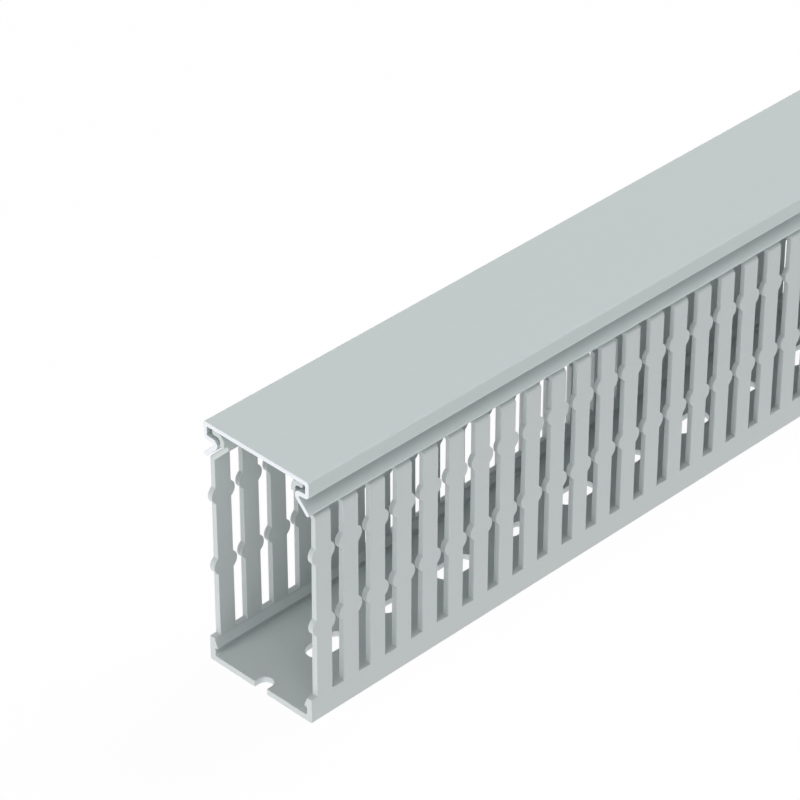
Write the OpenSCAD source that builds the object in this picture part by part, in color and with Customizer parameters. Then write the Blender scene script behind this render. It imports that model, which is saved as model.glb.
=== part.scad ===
// Slotted wire duct with its clip-on cover.
// The base is one extruded trough whose two walls are punched into fingers; the cover is a second
// extrusion that hooks over the finger heads and slides along them.
// X runs along the duct, Y across it and Z up, with the origin under the middle of the floor.

/* [Duct] */
// Length of the base and of the cover
duct_l = 500; // [100:50:2000]
// Width over the walls
duct_w = 40; // [40:1:120]
// Height over the cover
duct_h = 80; // [72:1:120]

/* [Base] */
// Thickness of the floor
floor_t = 2; // [1.5:0.1:3]
// Thickness of a wall at its foot
wall_t = 2; // [1.6:0.1:3]
// Thickness of a finger below its head
finger_t = 1.6; // [1.2:0.1:2]
// Radius along the two lower edges of the base
edge_r = 0.6; // [0.2:0.1:1.5]
// Radius where the floor meets a wall
corner_r = 0.5; // [0.2:0.1:1.5]
// Height of the rib inside each wall above the ground
rib_z = 4.6; // [4.2:0.1:5]
// How far the rib stands out of the wall
rib_reach = 1.1; // [0.5:0.1:1.5]
// Height of the rib's sloping back
rib_h = 2.8; // [2:0.1:3]

/* [Fingers] */
// Distance from one finger to the next
pitch = 10; // [10:0.5:16]
// Width of a slot between two fingers
slot_w = 4.4; // [4:0.1:6]
// Height of the slots' lower ends above the ground
slot_z = 8; // [8:0.5:16]
// Radius of the knobs on the fingers' edges
knob_r = 3; // [2:0.1:4]
// How far a knob stands into a slot
knob_reach = 1.4; // [0.6:0.1:1.6]
// Height of the lower knobs above the ground
knob_z = 31.3; // [20:0.1:34]
// Distance of the upper knobs below the top of the duct
knob_drop = 25.2; // [22:0.1:28]
// Radius in the upper corners of a slot
slot_r = 1; // [0.4:0.1:1]

/* [Finger heads] */
// Distance of the shoulders below the top of the duct
shoulder_drop = 12.6; // [12.2:0.1:14]
// Radius of the shoulders
shoulder_r = 1.2; // [0.4:0.1:2]
// Distance from the shoulders up to the lugs that close the slots
lug_rise = 6.7; // [5:0.1:8]
// Gap between the lugs of two neighbouring heads
lug_gap = 1.2; // [0.8:0.1:1.8]
// How far the neck of a head is set in from the outside of the wall
neck_set = 5.7; // [5.3:0.1:6.1]
// Thickness of a head
head_t = 1.6; // [1.2:0.1:1.8]
// Inside radius of the bend from the neck to the hook
hook_r = 1.1; // [0.6:0.1:1.4]
// Reach of the hook, outwards from the neck
hook_reach = 3.4; // [3:0.1:3.6]

/* [Cover] */
// Thickness of the cover
cover_t = 1.4; // [1:0.1:1.6]
// Radius along the two upper edges of the cover
cover_edge_r = 0.8; // [0.2:0.1:1.2]
// Sideways clearance between the cover's neck and the necks of the heads
neck_gap = 0.6; // [0.4:0.1:1]
// Outside radius where a side turns in
turn_r = 1.5; // [1.4:0.1:1.8]
// How far the turned-in strip falls towards the neck
strip_fall = 0.3; // [0:0.1:0.4]
// Inside radius of the cover's neck
neck_r = 0.4; // [0.2:0.1:0.6]
// Clearance between the flared edges and the shoulders of the fingers
cover_gap = 0.35; // [0.2:0.05:0.5]
// Clearance between the cover and the tops of the heads
top_gap = 0.5; // [0.2:0.05:0.6]

/* [Mounting holes] */
// Distance between two holes of one kind
hole_pitch = 50; // [50:10:100]
// Width of the large holes
large_w = 7; // [5:0.1:8]
// Length of the large holes
large_l = 14; // [10:0.5:18]
// Width of the small holes
small_w = 4.8; // [3:0.1:6]
// Length of the small holes
small_l = 8.2; // [7:0.1:12]

/* [Hidden] */
$fn = 48;

eps = 1;                                    // how far a cutter runs past a face
bend_r = 0.6;                               // small bends of the two outlines
crisp_r = 0.2;                              // edges that are left nearly sharp
facet_turn = 30;                            // degrees that one flat of a 1 mm bend turns through
half_w = duct_w / 2;
diag = sqrt(2);                             // a step across a 45-degree wall, measured sideways

// Finger head: the wall leans in at 45 degrees above the shoulder, where y + z stays the same
shoulder_z = duct_h - shoulder_drop;
slope_out = half_w + shoulder_z;
slope_in = slope_out - head_t * diag;
neck_out = half_w - neck_set;
neck_in = neck_out - head_t;
head_top = duct_h - cover_t - top_gap;
hook_z = head_top - head_t;
hook_y = neck_out + hook_reach;
hook_bevel = head_t / 2;                    // lean of the hook's end face

// Cover: its flared edge runs beside the shoulders, and its neck stands beside the heads' necks
flare_in = slope_out + cover_gap * diag;
flare_out = flare_in + cover_t * diag;
turn_y = neck_out + neck_gap + cover_t + neck_r;
strip_z = flare_out + neck_r * diag - turn_y + neck_r;
tip_r = cover_t * 0.45;                     // the flared edge ends almost in a half circle
tip_y = half_w - cover_t / diag + tip_r * (diag - 1);
tip_z = (flare_in + flare_out) / 2 - tip_y;

finger_count = floor(duct_l / pitch);
hole_count = floor(duct_l / hole_pitch);

// The arc that rounds corner p[1] of the corners p[0], p[1], p[2], each given as [y, z, radius]
function round_corner(p) =
    let (a = [p[0][0], p[0][1]], b = [p[1][0], p[1][1]], c = [p[2][0], p[2][1]])
    let (u = (b - a) / norm(b - a), v = (c - b) / norm(c - b))
    let (side = sign(cross(u, v)), turn = acos(u * v), r = p[1][2])
    let (steps = ceil(turn * sqrt(r) / facet_turn))
    let (start = b - u * r * tan(turn / 2), centre = start + side * r * [-u[1], u[0]])
    let (from = atan2(start[1] - centre[1], start[0] - centre[0]))
    r == 0 || side == 0 ? [b]
        : [for (i = [0:steps]) centre + r * [cos(from + side * turn * i / steps),
                                             sin(from + side * turn * i / steps)]];

// A closed outline that is symmetric about its vertical middle, from the corners of its right half
function section(corners) =
    let (mirrored = [for (i = [len(corners) - 1:-1:0]) [-corners[i][0], corners[i][1], corners[i][2]]])
    let (ring = concat(corners, mirrored), n = len(ring))
    [for (i = [0:n - 1]) each round_corner([ring[(i + n - 1) % n], ring[i], ring[(i + 1) % n]])];

// Right half of the base, from the underside up the outside, round the head and down the inside
BASE = [
    [half_w, 0, edge_r],
    [half_w, shoulder_z, shoulder_r],
    [neck_out, slope_out - neck_out, bend_r],
    [neck_out, hook_z, hook_r],
    [hook_y - hook_bevel, hook_z, bend_r],
    [hook_y, head_top, bend_r],
    [neck_in, head_top, hook_r + head_t],
    [neck_in, slope_in - neck_in, bend_r],
    [half_w - finger_t, slope_in - half_w + finger_t, bend_r],
    [half_w - wall_t, rib_z + rib_h, bend_r],
    [half_w - wall_t - rib_reach, rib_z + crisp_r, crisp_r],
    [half_w - wall_t, rib_z, crisp_r],
    [half_w - wall_t, floor_t, corner_r],
];

// Right half of the cover, from the top down the outside to the flared edge and back inside
COVER = [
    [half_w, duct_h, cover_edge_r],
    [half_w, strip_z + strip_fall, turn_r],
    [flare_out - strip_z, strip_z, neck_r],
    [tip_y + cover_t / diag, tip_z, tip_r],
    [tip_y, tip_z - cover_t / diag, tip_r],
    [flare_in - strip_z - cover_t, strip_z + cover_t, neck_r + cover_t],
    [half_w - cover_t, strip_z + strip_fall + cover_t, crisp_r],
    [half_w - cover_t, duct_h - cover_t, crisp_r],
];

module extrude_section(outline) {
    translate([-duct_l / 2, 0, 0])
        rotate([90, 0, 90])
            linear_extrude(duct_l)
                polygon(outline);
}

// One slot as seen from the side: the knobs narrow it twice, and the lugs of the heads at the top
module slot_shape() {
    lug_z = shoulder_z + lug_rise;
    right = [
        [slot_w / 2, slot_z, 0],
        [slot_w / 2, lug_z, slot_r],
        [lug_gap / 2, lug_z, 0],
        [lug_gap / 2, duct_h, 0],
    ];
    difference() {
        polygon(section(right));
        for (side = [-1, 1], z = [knob_z, duct_h - knob_drop])
            translate([side * (slot_w / 2 - knob_reach + knob_r), z]) circle(knob_r);
    }
}

// A slot through both walls at once
module slot(x) {
    translate([x, 0, 0])
        rotate([90, 0, 0])
            linear_extrude(duct_w + 2 * eps, center = true)
                slot_shape();
}

// A mounting hole with round ends, lying along the duct
module mounting_hole(x, length, width) {
    translate([x, 0, -eps])
        linear_extrude(floor_t + 2 * eps) {
            square([length - width, width], center = true);
            for (side = [-1, 1]) translate([side * (length - width) / 2, 0]) circle(width / 2);
        }
}

module base() {
    color([0.73, 0.76, 0.75])
        difference() {
            extrude_section(section(BASE));
            for (i = [0:finger_count]) slot(-duct_l / 2 + i * pitch);
            for (i = [0:hole_count]) mounting_hole(-duct_l / 2 + i * hole_pitch, small_l, small_w);
            for (i = [0:hole_count - 1])
                mounting_hole(-duct_l / 2 + (i + 0.5) * hole_pitch, large_l, large_w);
        }
}

module cover() {
    color([0.76, 0.79, 0.78])
        extrude_section(section(COVER));
}

base();
cover();
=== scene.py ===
from math import cos, radians, sin

import bmesh
import bpy
import numpy as np
from mathutils import Matrix, Vector


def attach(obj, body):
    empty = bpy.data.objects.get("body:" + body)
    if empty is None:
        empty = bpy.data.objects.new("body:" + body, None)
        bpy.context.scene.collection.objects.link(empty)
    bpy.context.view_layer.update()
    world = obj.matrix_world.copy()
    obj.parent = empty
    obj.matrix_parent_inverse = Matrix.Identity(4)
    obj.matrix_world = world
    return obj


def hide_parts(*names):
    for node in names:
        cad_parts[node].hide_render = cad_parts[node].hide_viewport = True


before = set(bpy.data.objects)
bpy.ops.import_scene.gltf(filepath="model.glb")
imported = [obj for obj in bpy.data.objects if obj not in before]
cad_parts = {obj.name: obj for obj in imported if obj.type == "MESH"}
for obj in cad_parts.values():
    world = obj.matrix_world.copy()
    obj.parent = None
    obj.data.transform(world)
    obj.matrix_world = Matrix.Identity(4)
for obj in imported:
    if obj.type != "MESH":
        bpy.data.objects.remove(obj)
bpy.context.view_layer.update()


# ---------------------------------------------------------------- Base
# One length of extruded rigid PVC: a floor with a ribbed foot along each wall. Each wall is punched
# from the side into fingers with two pairs of knobs, and the floor is punched with mounting holes.

MM = 0.001
HALF_LENGTH, HALF_WIDTH, TOP = 250.0, 20.0, 80.0
WELD, NEAR = 0.004, 0.01
BROKEN_EDGE, SHARP_TURN = 0.06, 48


def rounded(corners, steps):
    """Points along an open outline of [y, z, radius] corners.

    Every corner becomes an arc: it starts radius x tan(turn / 2) before the corner, its centre lies
    one radius to the side of the turn, and it sweeps the turn in equal steps. The two ends stay.
    """
    c = np.asarray(corners, float)
    a, b, d, r = c[:-2, :2], c[1:-1, :2], c[2:, :2], c[1:-1, 2:]
    u = (b - a) / np.linalg.norm(b - a, axis=1, keepdims=True)
    v = (d - b) / np.linalg.norm(d - b, axis=1, keepdims=True)
    side = np.sign(u[:, :1] * v[:, 1:] - u[:, 1:] * v[:, :1])
    turn = np.arccos(np.clip((u * v).sum(1, keepdims=True), -1, 1))
    start = b - u * r * np.tan(turn / 2)
    centre = start + side * r * np.stack([-u[:, 1], u[:, 0]], 1)
    first = np.arctan2(start[:, 1:] - centre[:, 1:], start[:, :1] - centre[:, :1])
    angle = first + side * turn * np.linspace(0, 1, steps + 1)
    arcs = centre[:, None] + r[:, None] * np.stack([np.cos(angle), np.sin(angle)], 2)
    return np.vstack([c[:1, :2], arcs.reshape(-1, 2), c[-1:, :2]])


def grid_faces(rows, columns, closed=False):
    """Quads between neighbouring points of a grid, numbered row by row; closed joins a row's ends."""
    i = np.arange(rows - 1)[:, None] * columns
    j = np.arange(columns if closed else columns - 1)[None, :]
    k = (j + 1) % columns
    return np.stack([i + j, i + k, i + columns + k, i + columns + j], 2).reshape(-1, 4)


def build(name, points, faces):
    """An object from points in millimetres and faces, with shared seams welded and faces outwards."""
    mesh = bpy.data.meshes.new(name)
    mesh.from_pydata((np.asarray(points) * MM).tolist(), [], faces)
    bm = bmesh.new()
    bm.from_mesh(mesh)
    bmesh.ops.remove_doubles(bm, verts=bm.verts, dist=WELD * MM)
    bmesh.ops.dissolve_degenerate(bm, edges=bm.edges, dist=WELD * MM)
    bmesh.ops.recalc_face_normals(bm, faces=bm.faces)
    bm.to_mesh(mesh)
    bm.free()
    obj = bpy.data.objects.new(name, mesh)
    bpy.context.scene.collection.objects.link(obj)
    return obj


def soften_edges(obj):
    """Breaks every sharp edge by a small flat, and lets the large faces set the shading."""
    bevel = obj.modifiers.new("Broken edges", "BEVEL")
    bevel.width = BROKEN_EDGE * MM
    bevel.segments = 1
    bevel.limit_method = "ANGLE"
    bevel.angle_limit = radians(SHARP_TURN)
    bevel.use_clamp_overlap = False
    normals = obj.modifiers.new("Flat faces lead", "WEIGHTED_NORMAL")
    normals.keep_sharp = True
    obj.data.polygons.foreach_set("use_smooth", np.ones(len(obj.data.polygons), bool))


def mark_cut(obj, amount):
    """Stores on each face how freshly it was cut: 1 by the saw, 0 where it left the extruder, and 1
    where light is painted.
    """
    attribute = obj.data.attributes.new("cut", "FLOAT", "FACE")
    attribute.data.foreach_set("value", np.asarray(amount, float))


def face_layout(obj):
    """Centres in millimetres and normals of an object's faces, as two arrays."""
    count = len(obj.data.polygons)
    centres, normals = np.empty(count * 3), np.empty(count * 3)
    obj.data.polygons.foreach_get("center", centres)
    obj.data.polygons.foreach_get("normal", normals)
    return centres.reshape(-1, 3) / MM, normals.reshape(-1, 3)


points, faces = [], []


def add(new_points, new_faces):
    """Adds a patch, whose faces count its own points from 0, to the lists of the whole piece."""
    start = sum(map(len, points))
    points.append(np.asarray(new_points, float).reshape(-1, 3))
    faces.extend((np.asarray(face) + start).tolist() for face in new_faces)


# Foot below the slots: its outline runs from the floor's strip of holes out along the underside, up
# to the ledge at the foot of the slots and back inside over the rib
FLOOR_TOP, HOLE_STRIP = 2.0, 6.0
PITCH, SLOT_HALF, SLOT_FOOT = 10.0, 2.2, 8.0
FOOT_IN, THINNING = 18.0, 0.4
RIB_UNDER, RIB_TIP, RIB_TOP, RIB_IN = 4.6, 4.8, 7.4, 16.9
LEAN_IN = 66.737
LOWER_EDGE, FLOOR_CORNER, RIB_BACK, CRISP = 0.6, 0.5, 0.3, 0.2
FOOT_STEPS = 5


def inner_wall(z):
    """Half the width between the walls at height z, which thin evenly from the rib to the lean."""
    return FOOT_IN + THINNING * (z - RIB_TOP) / (LEAN_IN - RIB_TOP)


foot = rounded(
    [
        [HOLE_STRIP, 0, 0],
        [HALF_WIDTH, 0, LOWER_EDGE],
        [HALF_WIDTH, SLOT_FOOT, 0],
        [inner_wall(SLOT_FOOT), SLOT_FOOT, 0],
        [inner_wall(RIB_TOP), RIB_TOP, RIB_BACK],
        [RIB_IN, RIB_TIP, CRISP],
        [FOOT_IN, RIB_UNDER, CRISP],
        [FOOT_IN, FLOOR_TOP, FLOOR_CORNER],
        [HOLE_STRIP, FLOOR_TOP, 0],
    ],
    FOOT_STEPS,
)
slots = np.arange(-HALF_LENGTH, HALF_LENGTH + 1, PITCH)
columns = np.clip((slots[:, None] + [-SLOT_HALF, SLOT_HALF]).ravel(), -HALF_LENGTH, HALF_LENGTH)

for side in (1, -1):
    strip = np.empty((len(columns), len(foot), 3))
    strip[..., 0] = columns[:, None]
    strip[..., 1] = side * foot[:, 0]
    strip[..., 2] = foot[:, 1]
    quads = grid_faces(len(columns), len(foot))
    # The ledge shows only in the slots: between them the fingers stand on it
    column, step = np.divmod(np.arange(len(quads)), len(foot) - 1)
    on_ledge = np.isclose(foot[step, 1], SLOT_FOOT) & np.isclose(foot[step + 1, 1], SLOT_FOOT)
    add(strip, quads[~on_ledge | (column % 2 == 0)])

# Floor round the mounting holes: small holes at every 50 mm from the ends, large ones between them
SMALL, LARGE = (8.2, 4.8), (14.0, 7.0)
HOLE_STEP, QUARTER_POINTS = 25.0, 9
hole_x = np.arange(-HALF_LENGTH, HALF_LENGTH + 1, HOLE_STEP)
middles = (hole_x[1:] + hole_x[:-1]) / 2
splits = columns[abs(columns[:, None] - middles).argmin(0)]
splits = np.concatenate([[-HALF_LENGTH], splits, [HALF_LENGTH]])


def half_hole(centre, length, width):
    """Half the edge of a round-ended hole, from its right end over the top to its left end.

    The quarter circles are shifted apart by the straight part, and the ends of the duct cut it off.
    """
    quarter = np.linspace(0, np.pi / 2, QUARTER_POINTS)
    angle = np.concatenate([quarter, np.linspace(np.pi / 2, np.pi, QUARTER_POINTS)])
    shift = np.repeat([length - width, width - length], QUARTER_POINTS) / 2
    x = centre + shift + width / 2 * np.cos(angle)
    edge = np.stack([x, width / 2 * np.sin(angle)], 1)
    inside = edge[abs(x) < HALF_LENGTH + NEAR]
    if len(inside) == len(edge):
        return edge
    cut = [[np.sign(centre) * HALF_LENGTH, width / 2]]
    return np.vstack([cut, inside] if centre > 0 else [inside, cut])


for number, (centre, cell_start, cell_end) in enumerate(zip(hole_x, splits[:-1], splits[1:])):
    edge = half_hole(centre, *(LARGE if number % 2 else SMALL))
    border = columns[(columns >= cell_start - NEAR) & (columns <= cell_end + NEAR)]
    cell = [np.stack([border, np.full(len(border), HOLE_STRIP)], 1)]
    if centre < HALF_LENGTH:
        cell.append([[cell_end, 0]])
    cell.append(edge)
    if centre > -HALF_LENGTH:
        cell.append([[cell_start, 0]])
    cell = np.vstack(cell)
    for side in (1, -1):
        for z in (0, FLOOR_TOP):
            flat = np.column_stack([cell[:, 0], side * cell[:, 1], np.full(len(cell), z)])
            add(flat, [np.arange(len(flat))])
        rim = np.repeat(np.column_stack([edge[:, 0], side * edge[:, 1]])[None], 2, 0)
        wall = np.dstack([rim, np.repeat([[0.0], [FLOOR_TOP]], len(edge), 1)])
        add(wall, grid_faces(2, len(edge)))

# Sawn ends of the foot, which the last small holes cut in two
hole_rim = np.array([[SMALL[1] / 2, FLOOR_TOP], [SMALL[1] / 2, 0]])
end_outline = np.vstack([foot, hole_rim])
for end in (-1, 1):
    for side in (1, -1):
        x = np.full(len(end_outline), end * HALF_LENGTH)
        cap = np.column_stack([x, side * end_outline[:, 0], end_outline[:, 1]])
        add(cap, [np.arange(len(cap))])

# Half the width of a finger at each height: the knobs are arcs that stand out from its sides, and
# at the lug a fillet leads out to the wider head
FINGER_HALF = 2.8
KNOB_RADIUS, KNOB_OFFSET, KNOB_HEIGHTS = 3.0, 1.2, (31.3, 54.8)
LUG_FOOT, LUG_HALF, FILLET = 74.1, 4.4, 1.0
KNOB_POINTS, FILLET_POINTS, LUG_STEP = 15, 7, 0.001
knob_half_angle = np.arccos((FINGER_HALF - KNOB_OFFSET) / KNOB_RADIUS)
knob_angle = np.linspace(-knob_half_angle, knob_half_angle, KNOB_POINTS)
knob_rise = KNOB_RADIUS * np.sin(knob_angle)
knob_half = KNOB_OFFSET + KNOB_RADIUS * np.cos(knob_angle)
fillet = np.linspace(0, np.pi / 2, FILLET_POINTS)
fillet_z = LUG_FOOT - FILLET + FILLET * np.sin(fillet)
fillet_half = FINGER_HALF + FILLET * (1 - np.cos(fillet))
wall_z = np.concatenate([[SLOT_FOOT], KNOB_HEIGHTS[0] + knob_rise, KNOB_HEIGHTS[1] + knob_rise])
side_z = np.concatenate([wall_z, fillet_z, [LUG_FOOT + LUG_STEP, TOP]])
side_half = np.concatenate([[FINGER_HALF], knob_half, knob_half, fillet_half, [LUG_HALF, LUG_HALF]])

# Head: above the shoulder the wall leans in at 45 degrees, stands up as a neck and turns out into
# the hook, whose end face leans out a little
HEAD_STEPS = 6
BELOW_HEAD, SHOULDER, SHOULDER_BEND = 60.0, 67.4, 1.2
LEAN_TOP_OUT, LEAN_TOP_IN = 73.1, 72.437
NECK_OUT, NECK_IN = 14.3, 12.7
HOOK_UNDER, HEAD_TOP = 76.5, 78.1
HOOK_LOW, HOOK_HIGH = 16.9, 17.7
BEND, HOOK_IN, HOOK_OUT = 0.6, 1.1, 2.7
STRAIGHT_NECK = (73.4, 75.0)
head_out = rounded(
    [
        [HALF_WIDTH, BELOW_HEAD, 0],
        [HALF_WIDTH, SHOULDER, SHOULDER_BEND],
        [NECK_OUT, LEAN_TOP_OUT, BEND],
        [NECK_OUT, HOOK_UNDER, HOOK_IN],
        [HOOK_LOW, HOOK_UNDER, BEND],
        [HOOK_HIGH, HEAD_TOP, 0],
    ],
    HEAD_STEPS,
)[1:-1]
head_in = rounded(
    [
        [inner_wall(BELOW_HEAD), BELOW_HEAD, 0],
        [inner_wall(LEAN_IN), LEAN_IN, BEND],
        [NECK_IN, LEAN_TOP_IN, BEND],
        [NECK_IN, HEAD_TOP, HOOK_OUT],
        [HOOK_HIGH, HEAD_TOP, BEND],
        [HOOK_LOW, HOOK_UNDER, 0],
    ],
    HEAD_STEPS,
)[1:-1]
neck_z = side_z[(side_z > STRAIGHT_NECK[0]) & (side_z < STRAIGHT_NECK[1])]


def face_of_finger(wall_y, head, neck_y):
    """One face of a finger from its foot to the hook, as [y, z] points.

    The wall's stations come first, then the head's path, with the lug's stations put in on the
    straight neck after the head's second bend.
    """
    second = 2 * (HEAD_STEPS + 1)
    wall = np.column_stack([wall_y, wall_z])
    neck = np.column_stack([np.full(len(neck_z), neck_y), neck_z])
    return np.vstack([wall, head[:second], neck, head[second:]])


# Fingers: each is a run of four-point rings, outside and inside face side by side
outside = face_of_finger(np.full(len(wall_z), HALF_WIDTH), head_out, NECK_OUT)
inside = face_of_finger(inner_wall(wall_z), head_in, NECK_IN)
half_out = np.interp(outside[:, 1], side_z, side_half)
half_in = np.interp(inside[:, 1], side_z, side_half)
ring = np.empty((len(outside), 4, 3))
ring[:, :, 0] = np.stack([-half_out, half_out, half_in, -half_in], 1)
ring[:, :, 1:] = np.stack([outside, outside, inside, inside], 1)
hook_end = len(ring) * 4 - np.array([[4, 3, 2, 1]])
finger_faces = np.vstack([grid_faces(len(ring), 4, closed=True), hook_end])
finger_x = slots[:-1] + PITCH / 2
places = np.column_stack([finger_x, 0 * finger_x, 0 * finger_x])
fingers = ring.reshape(1, -1, 3) + places[:, None]
starts = np.arange(len(finger_x))[:, None, None] * len(ring) * 4
for side in (1, -1):
    add(fingers * [1, side, 1], (finger_faces[None] + starts).reshape(-1, 4))

base = build("slotted_base", np.vstack(points), faces)

# The ends look sawn. The outer sides of the end fingers, knobs included, are punched but get the
# paler sawn colour too, as painted light on faces that look out of the ends. The slots, the
# undersides of the lugs and the edges of the holes look punched
SAWN_AND_LIT, PUNCHED = 1.0, 0.1
SAWN_AND_LIT_REACH, HOLE_REACH = 3.7, 3.6
SLANTED, STEEP, FLAT = 0.05, 0.5, 0.9
centres, normals = face_layout(base)
endways = abs(normals[:, 0]) > SLANTED
# Within this reach of the ends the punched sides of the end fingers get the sawn colour as painted
# light
sawn_and_lit_faces = (abs(centres[:, 0]) > HALF_LENGTH - SAWN_AND_LIT_REACH) & endways
on_slot_foot = (abs(centres[:, 2] - SLOT_FOOT) < NEAR) & (normals[:, 2] > FLAT)
under_lug = (abs(centres[:, 2] - LUG_FOOT) < NEAR) & (abs(normals[:, 2]) > FLAT)
in_hole = (abs(centres[:, 1]) < HOLE_REACH) & (abs(normals[:, 2]) < STEEP)
punched = endways | on_slot_foot | under_lug | in_hole
mark_cut(base, np.where(sawn_and_lit_faces, SAWN_AND_LIT, np.where(punched, PUNCHED, 0.0)))
soften_edges(base)
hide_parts("base")
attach(base, "trough")


PVC_IOR, CUT_ROUGHNESS, CLOUDING, BUMP_HEIGHT = 1.5, 0.75, 0.03, 0.00003


def rigid_pvc(name, tint, cut_tint, roughness):
    """Grey rigid PVC: drawn faintly along its length by the die, paler and duller where it is cut,
    and where the cut mark paints light.
    """
    material = bpy.data.materials.new(name)
    material.use_nodes = True
    tree = material.node_tree
    nodes, link = tree.nodes, tree.links.new
    shader = nodes["Principled BSDF"]
    shader.inputs["IOR"].default_value = PVC_IOR
    place = nodes.new("ShaderNodeTexCoord")

    def noise(scale, stretch, detail):
        """Noise in the object's own space, stretched along the duct by a mapping."""
        mapping = nodes.new("ShaderNodeMapping")
        mapping.inputs["Scale"].default_value = stretch
        link(place.outputs["Object"], mapping.inputs["Vector"])
        texture = nodes.new("ShaderNodeTexNoise")
        texture.inputs["Scale"].default_value = scale
        texture.inputs["Detail"].default_value = detail
        link(mapping.outputs["Vector"], texture.inputs["Vector"])
        return texture.outputs["Fac"]

    def ranged(value, low, high):
        """The value from 0 to 1 moved to between low and high."""
        node = nodes.new("ShaderNodeMapRange")
        node.inputs["To Min"].default_value = low
        node.inputs["To Max"].default_value = high
        link(value, node.inputs["Value"])
        return node.outputs["Result"]

    def mixed(factor, a, b, blend="MIX"):
        """Two colours, or a colour and an output, mixed by the factor."""
        node = nodes.new("ShaderNodeMix")
        node.data_type, node.blend_type = "RGBA", blend
        for socket, value in ((node.inputs[0], factor), (node.inputs[6], a), (node.inputs[7], b)):
            if hasattr(value, "links"):
                link(value, socket)
            else:
                socket.default_value = value
        return node.outputs[2]

    def shade(value, low, high):
        """A grey factor between low and high, as a colour."""
        amount = ranged(value, low, high)
        node = nodes.new("ShaderNodeCombineColor")
        for channel in ("Red", "Green", "Blue"):
            link(amount, node.inputs[channel])
        return node.outputs["Color"]

    cut = nodes.new("ShaderNodeAttribute")
    cut.attribute_name = "cut"
    cut_amount = cut.outputs["Fac"]

    draw_lines = noise(900, (0.01, 1, 1), 2)
    cloud = noise(30, (0.4, 1, 1), 3)
    grain = noise(2600, (1, 1, 1), 2)

    skin = mixed(1.0, tint, shade(draw_lines, 0.985, 1.012), "MULTIPLY")
    skin = mixed(1.0, skin, shade(cloud, 0.99, 1.01), "MULTIPLY")
    bare = mixed(1.0, cut_tint, shade(grain, 0.96, 1.03), "MULTIPLY")
    link(mixed(cut_amount, skin, bare), shader.inputs["Base Color"])

    dull = nodes.new("ShaderNodeMix")
    link(cut_amount, dull.inputs[0])
    link(ranged(cloud, roughness - CLOUDING, roughness + CLOUDING), dull.inputs[2])
    dull.inputs[3].default_value = CUT_ROUGHNESS
    link(dull.outputs[0], shader.inputs["Roughness"])

    relief = nodes.new("ShaderNodeMix")
    link(cut_amount, relief.inputs[0])
    link(draw_lines, relief.inputs[2])
    link(ranged(grain, 0, 4), relief.inputs[3])
    bump = nodes.new("ShaderNodeBump")
    bump.inputs["Strength"].default_value = 0.25
    bump.inputs["Distance"].default_value = BUMP_HEIGHT
    link(relief.outputs[0], bump.inputs["Height"])
    link(bump.outputs["Normal"], shader.inputs["Normal"])
    return material


base_tint, base_cut = (0.562, 0.602, 0.603, 1), (0.59, 0.63, 0.63, 1)
base.data.materials.append(rigid_pvc("Grey PVC of the base", base_tint, base_cut, 0.45))


# ---------------------------------------------------------------- Cover
# A second extrusion of the same PVC: a flat top with two sides that turn in under the finger heads
# and flare out again. It clips over the heads, slides along them, and its ends are sawn square.

ROOT2 = 2**0.5
COVER_WALL, COVER_EDGE, TURN = 1.4, 0.8, 1.5
NECK_BEND, NECK_GAP, FLARE_GAP, STRIP_FALL = 0.4, 0.6, 0.35, 0.3
COVER_STEPS, STATIONS = 8, 21
flare_in = HALF_WIDTH + SHOULDER + FLARE_GAP * ROOT2
flare_out = flare_in + COVER_WALL * ROOT2
neck_y = NECK_OUT + NECK_GAP + COVER_WALL + NECK_BEND
strip_z = flare_out + NECK_BEND * ROOT2 - neck_y + NECK_BEND
tip_bend = COVER_WALL * 0.45  # the flared edge ends almost in a half circle
tip_y = HALF_WIDTH - COVER_WALL / ROOT2 + tip_bend * (ROOT2 - 1)
tip_z = (flare_in + flare_out) / 2 - tip_y
cover_right = [
    [HALF_WIDTH, TOP, COVER_EDGE],
    [HALF_WIDTH, strip_z + STRIP_FALL, TURN],
    [flare_out - strip_z, strip_z, NECK_BEND],
    [tip_y + COVER_WALL / ROOT2, tip_z, tip_bend],
    [tip_y, tip_z - COVER_WALL / ROOT2, tip_bend],
    [flare_in - strip_z - COVER_WALL, strip_z + COVER_WALL, NECK_BEND + COVER_WALL],
    [HALF_WIDTH - COVER_WALL, strip_z + STRIP_FALL + COVER_WALL, CRISP],
    [HALF_WIDTH - COVER_WALL, TOP - COVER_WALL, CRISP],
]
corners = np.array(cover_right + [[-y, z, r] for y, z, r in cover_right[::-1]])
outline = rounded(np.vstack([corners[-1:], corners, corners[:1]]), COVER_STEPS)[1:-1]
stations = np.linspace(-HALF_LENGTH, HALF_LENGTH, STATIONS)
skin = np.empty((len(stations), len(outline), 3))
skin[..., 0] = stations[:, None]
skin[..., 1:] = outline
near_end = np.arange(len(outline))
far_end = near_end + (len(stations) - 1) * len(outline)
tube = grid_faces(len(stations), len(outline), closed=True)
ends = [near_end.tolist(), far_end.tolist()]
cover = build("clip_on_cover", skin.reshape(-1, 3), tube.tolist() + ends)
_, normals = face_layout(cover)
mark_cut(cover, abs(normals[:, 0]) > STEEP)
soften_edges(cover)
cover_tint, cover_cut = (0.552, 0.613, 0.608, 1), (0.80, 0.83, 0.87, 1)
cover.data.materials.append(rigid_pvc("Grey PVC of the cover", cover_tint, cover_cut, 0.42))
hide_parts("cover")
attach(cover, "lid")


# ---------------------------------------------------------------- CAD nodes
# The two plain solids stay hidden behind the pieces above and take the same PVC
for node, piece in (("base", base), ("cover", cover)):
    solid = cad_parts[node]
    solid.data.materials.clear()
    solid.data.materials.append(piece.data.materials[0])


# ---------------------------------------------------------------- Floor, light and camera
# A white floor that keeps the duct's faint shadow, light from below as from a glowing table, and
# five soft lamps, of which the one at the duct's open end is the key


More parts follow.
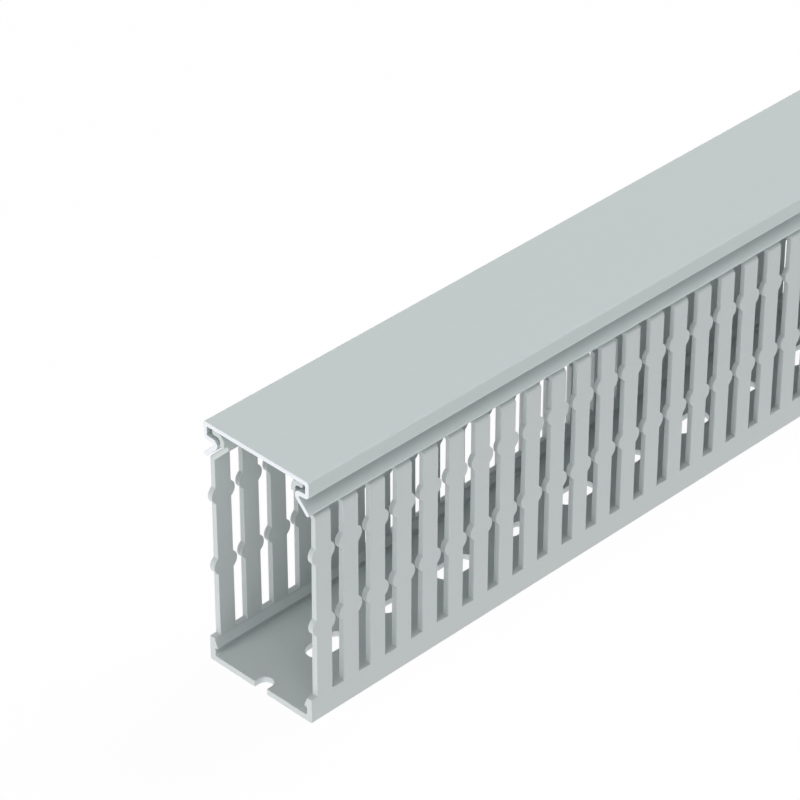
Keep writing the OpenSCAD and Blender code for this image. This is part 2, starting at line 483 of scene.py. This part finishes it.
def worked_out(tree, operation, a, b):
    """A Math node's result from two inputs, each an output of another node or a number."""
    node = tree.nodes.new("ShaderNodeMath")
    node.operation = operation
    for socket, value in zip(node.inputs, (a, b)):
        if hasattr(value, "links"):
            tree.links.new(value, socket)
        else:
            socket.default_value = value
    return node.outputs[0]


def seen_directly(tree):
    """1 for what the camera or a reflection sees, and 0 for the light that falls on other things."""
    rays = tree.nodes.new("ShaderNodeLightPath").outputs
    return worked_out(tree, "MAXIMUM", rays["Is Camera Ray"], rays["Is Glossy Ray"])


def mixed_shaders(tree, share, first, second):
    """Two surface shaders mixed by a share."""
    node = tree.nodes.new("ShaderNodeMixShader")
    for socket, value in zip(node.inputs, (share, first, second)):
        tree.links.new(value, socket)
    return node.outputs[0]


FLOOR_SIZE, PAPER_WHITE, SEEN_WHITE = 30, 0.95, 0.96
bpy.ops.mesh.primitive_plane_add(size=FLOOR_SIZE, location=(0, 0, 0))
floor = bpy.context.object
floor.name = "White floor"
paper = bpy.data.materials.new("White paper")
paper.use_nodes = True
tree = paper.node_tree
tree.nodes.clear()
out = tree.nodes.new("ShaderNodeOutputMaterial")
diffuse = tree.nodes.new("ShaderNodeBsdfDiffuse")
diffuse.inputs["Color"].default_value = (PAPER_WHITE, PAPER_WHITE, PAPER_WHITE, 1)
white = tree.nodes.new("ShaderNodeEmission")
white.inputs["Color"].default_value = (1, 1, 1, 1)
share = worked_out(tree, "MULTIPLY", seen_directly(tree), SEEN_WHITE)
top_side = mixed_shaders(tree, share, diffuse.outputs[0], white.outputs[0])
# Seen from underneath, the floor isn't there
facing = tree.nodes.new("ShaderNodeNewGeometry")
clear = tree.nodes.new("ShaderNodeBsdfTransparent")
both_sides = mixed_shaders(tree, facing.outputs["Backfacing"], top_side, clear.outputs[0])
tree.links.new(both_sides, out.inputs["Surface"])
floor.data.materials.append(paper)
floor.visible_diffuse = False
floor.visible_shadow = False

# The duct stands as on a table that glows: part of its light comes from the lower half of the world
TABLE_GLOW = 1.27
world = bpy.data.worlds.new("White surroundings")
bpy.context.scene.world = world
world.use_nodes = True
tree = world.node_tree
direction = tree.nodes.new("ShaderNodeTexCoord")
height = tree.nodes.new("ShaderNodeSeparateXYZ")
tree.links.new(direction.outputs["Generated"], height.inputs[0])
rays = tree.nodes.new("ShaderNodeLightPath").outputs
below = worked_out(tree, "LESS_THAN", height.outputs["Z"], 0)
table = worked_out(tree, "MULTIPLY", below, TABLE_GLOW)
lit = worked_out(tree, "MULTIPLY", table, rays["Is Diffuse Ray"])
strength = worked_out(tree, "MAXIMUM", seen_directly(tree), lit)
tree.nodes["Background"].inputs["Color"].default_value = (1, 1, 1, 1)
tree.links.new(strength, tree.nodes["Background"].inputs["Strength"])

# Lamps: name, the side it shines from and its height in degrees, and its strength
LAMP_BREADTH = 35
for name, bearing, rise, energy in (
    ("Key over the open end", 180, 18, 0.90),
    ("High light over the open end", 180, 50, 0.29),
    ("High light over the near corner", 225, 50, 0.75),
    ("High light from the far end", 0, 50, 1.42),
    ("Light from above", 0, 88, 0.70),
):
    lamp = bpy.data.lights.new(name, "SUN")
    lamp.energy, lamp.angle = energy, radians(LAMP_BREADTH)
    light = bpy.data.objects.new(name, lamp)
    bpy.context.scene.collection.objects.link(light)
    turn, tilt = radians(bearing), radians(rise)
    towards = Vector((cos(turn) * cos(tilt), sin(turn) * cos(tilt), sin(tilt)))
    light.visible_glossy = False
    light.rotation_euler = towards.to_track_quat("Z", "Y").to_euler()

# The camera looks down past the duct's open end and its near wall, at a point set off sideways and
# upwards from the foot of that end: metres in the scene, millimetres for the sensor and the lens
DISTANCE, SENSOR, LENS, FARTHEST = 1.097826, 36, 181.93, 20
ASIDE, ABOVE = 0.037775, 0.078957
azimuth, elevation, roll = radians(-45.099), radians(34.981), radians(0.074)
back = Vector((sin(azimuth) * cos(elevation), -cos(azimuth) * cos(elevation), sin(elevation)))
level = Vector((cos(azimuth), sin(azimuth), 0))
upright = back.cross(level)
right = cos(roll) * level + sin(roll) * upright
up = cos(roll) * upright - sin(roll) * level
aim = Vector((-HALF_LENGTH * MM, 0, 0)) + ASIDE * right + ABOVE * up
lens = bpy.data.cameras.new("Camera")
lens.sensor_width, lens.lens, lens.clip_end = SENSOR, LENS, FARTHEST
camera = bpy.data.objects.new("Camera", lens)
bpy.context.scene.collection.objects.link(camera)
turned = Matrix((right, up, back)).transposed().to_4x4()
camera.matrix_world = Matrix.Translation(aim + DISTANCE * back) @ turned
bpy.context.scene.camera = camera
bpy.context.scene.view_settings.view_transform = "Standard"
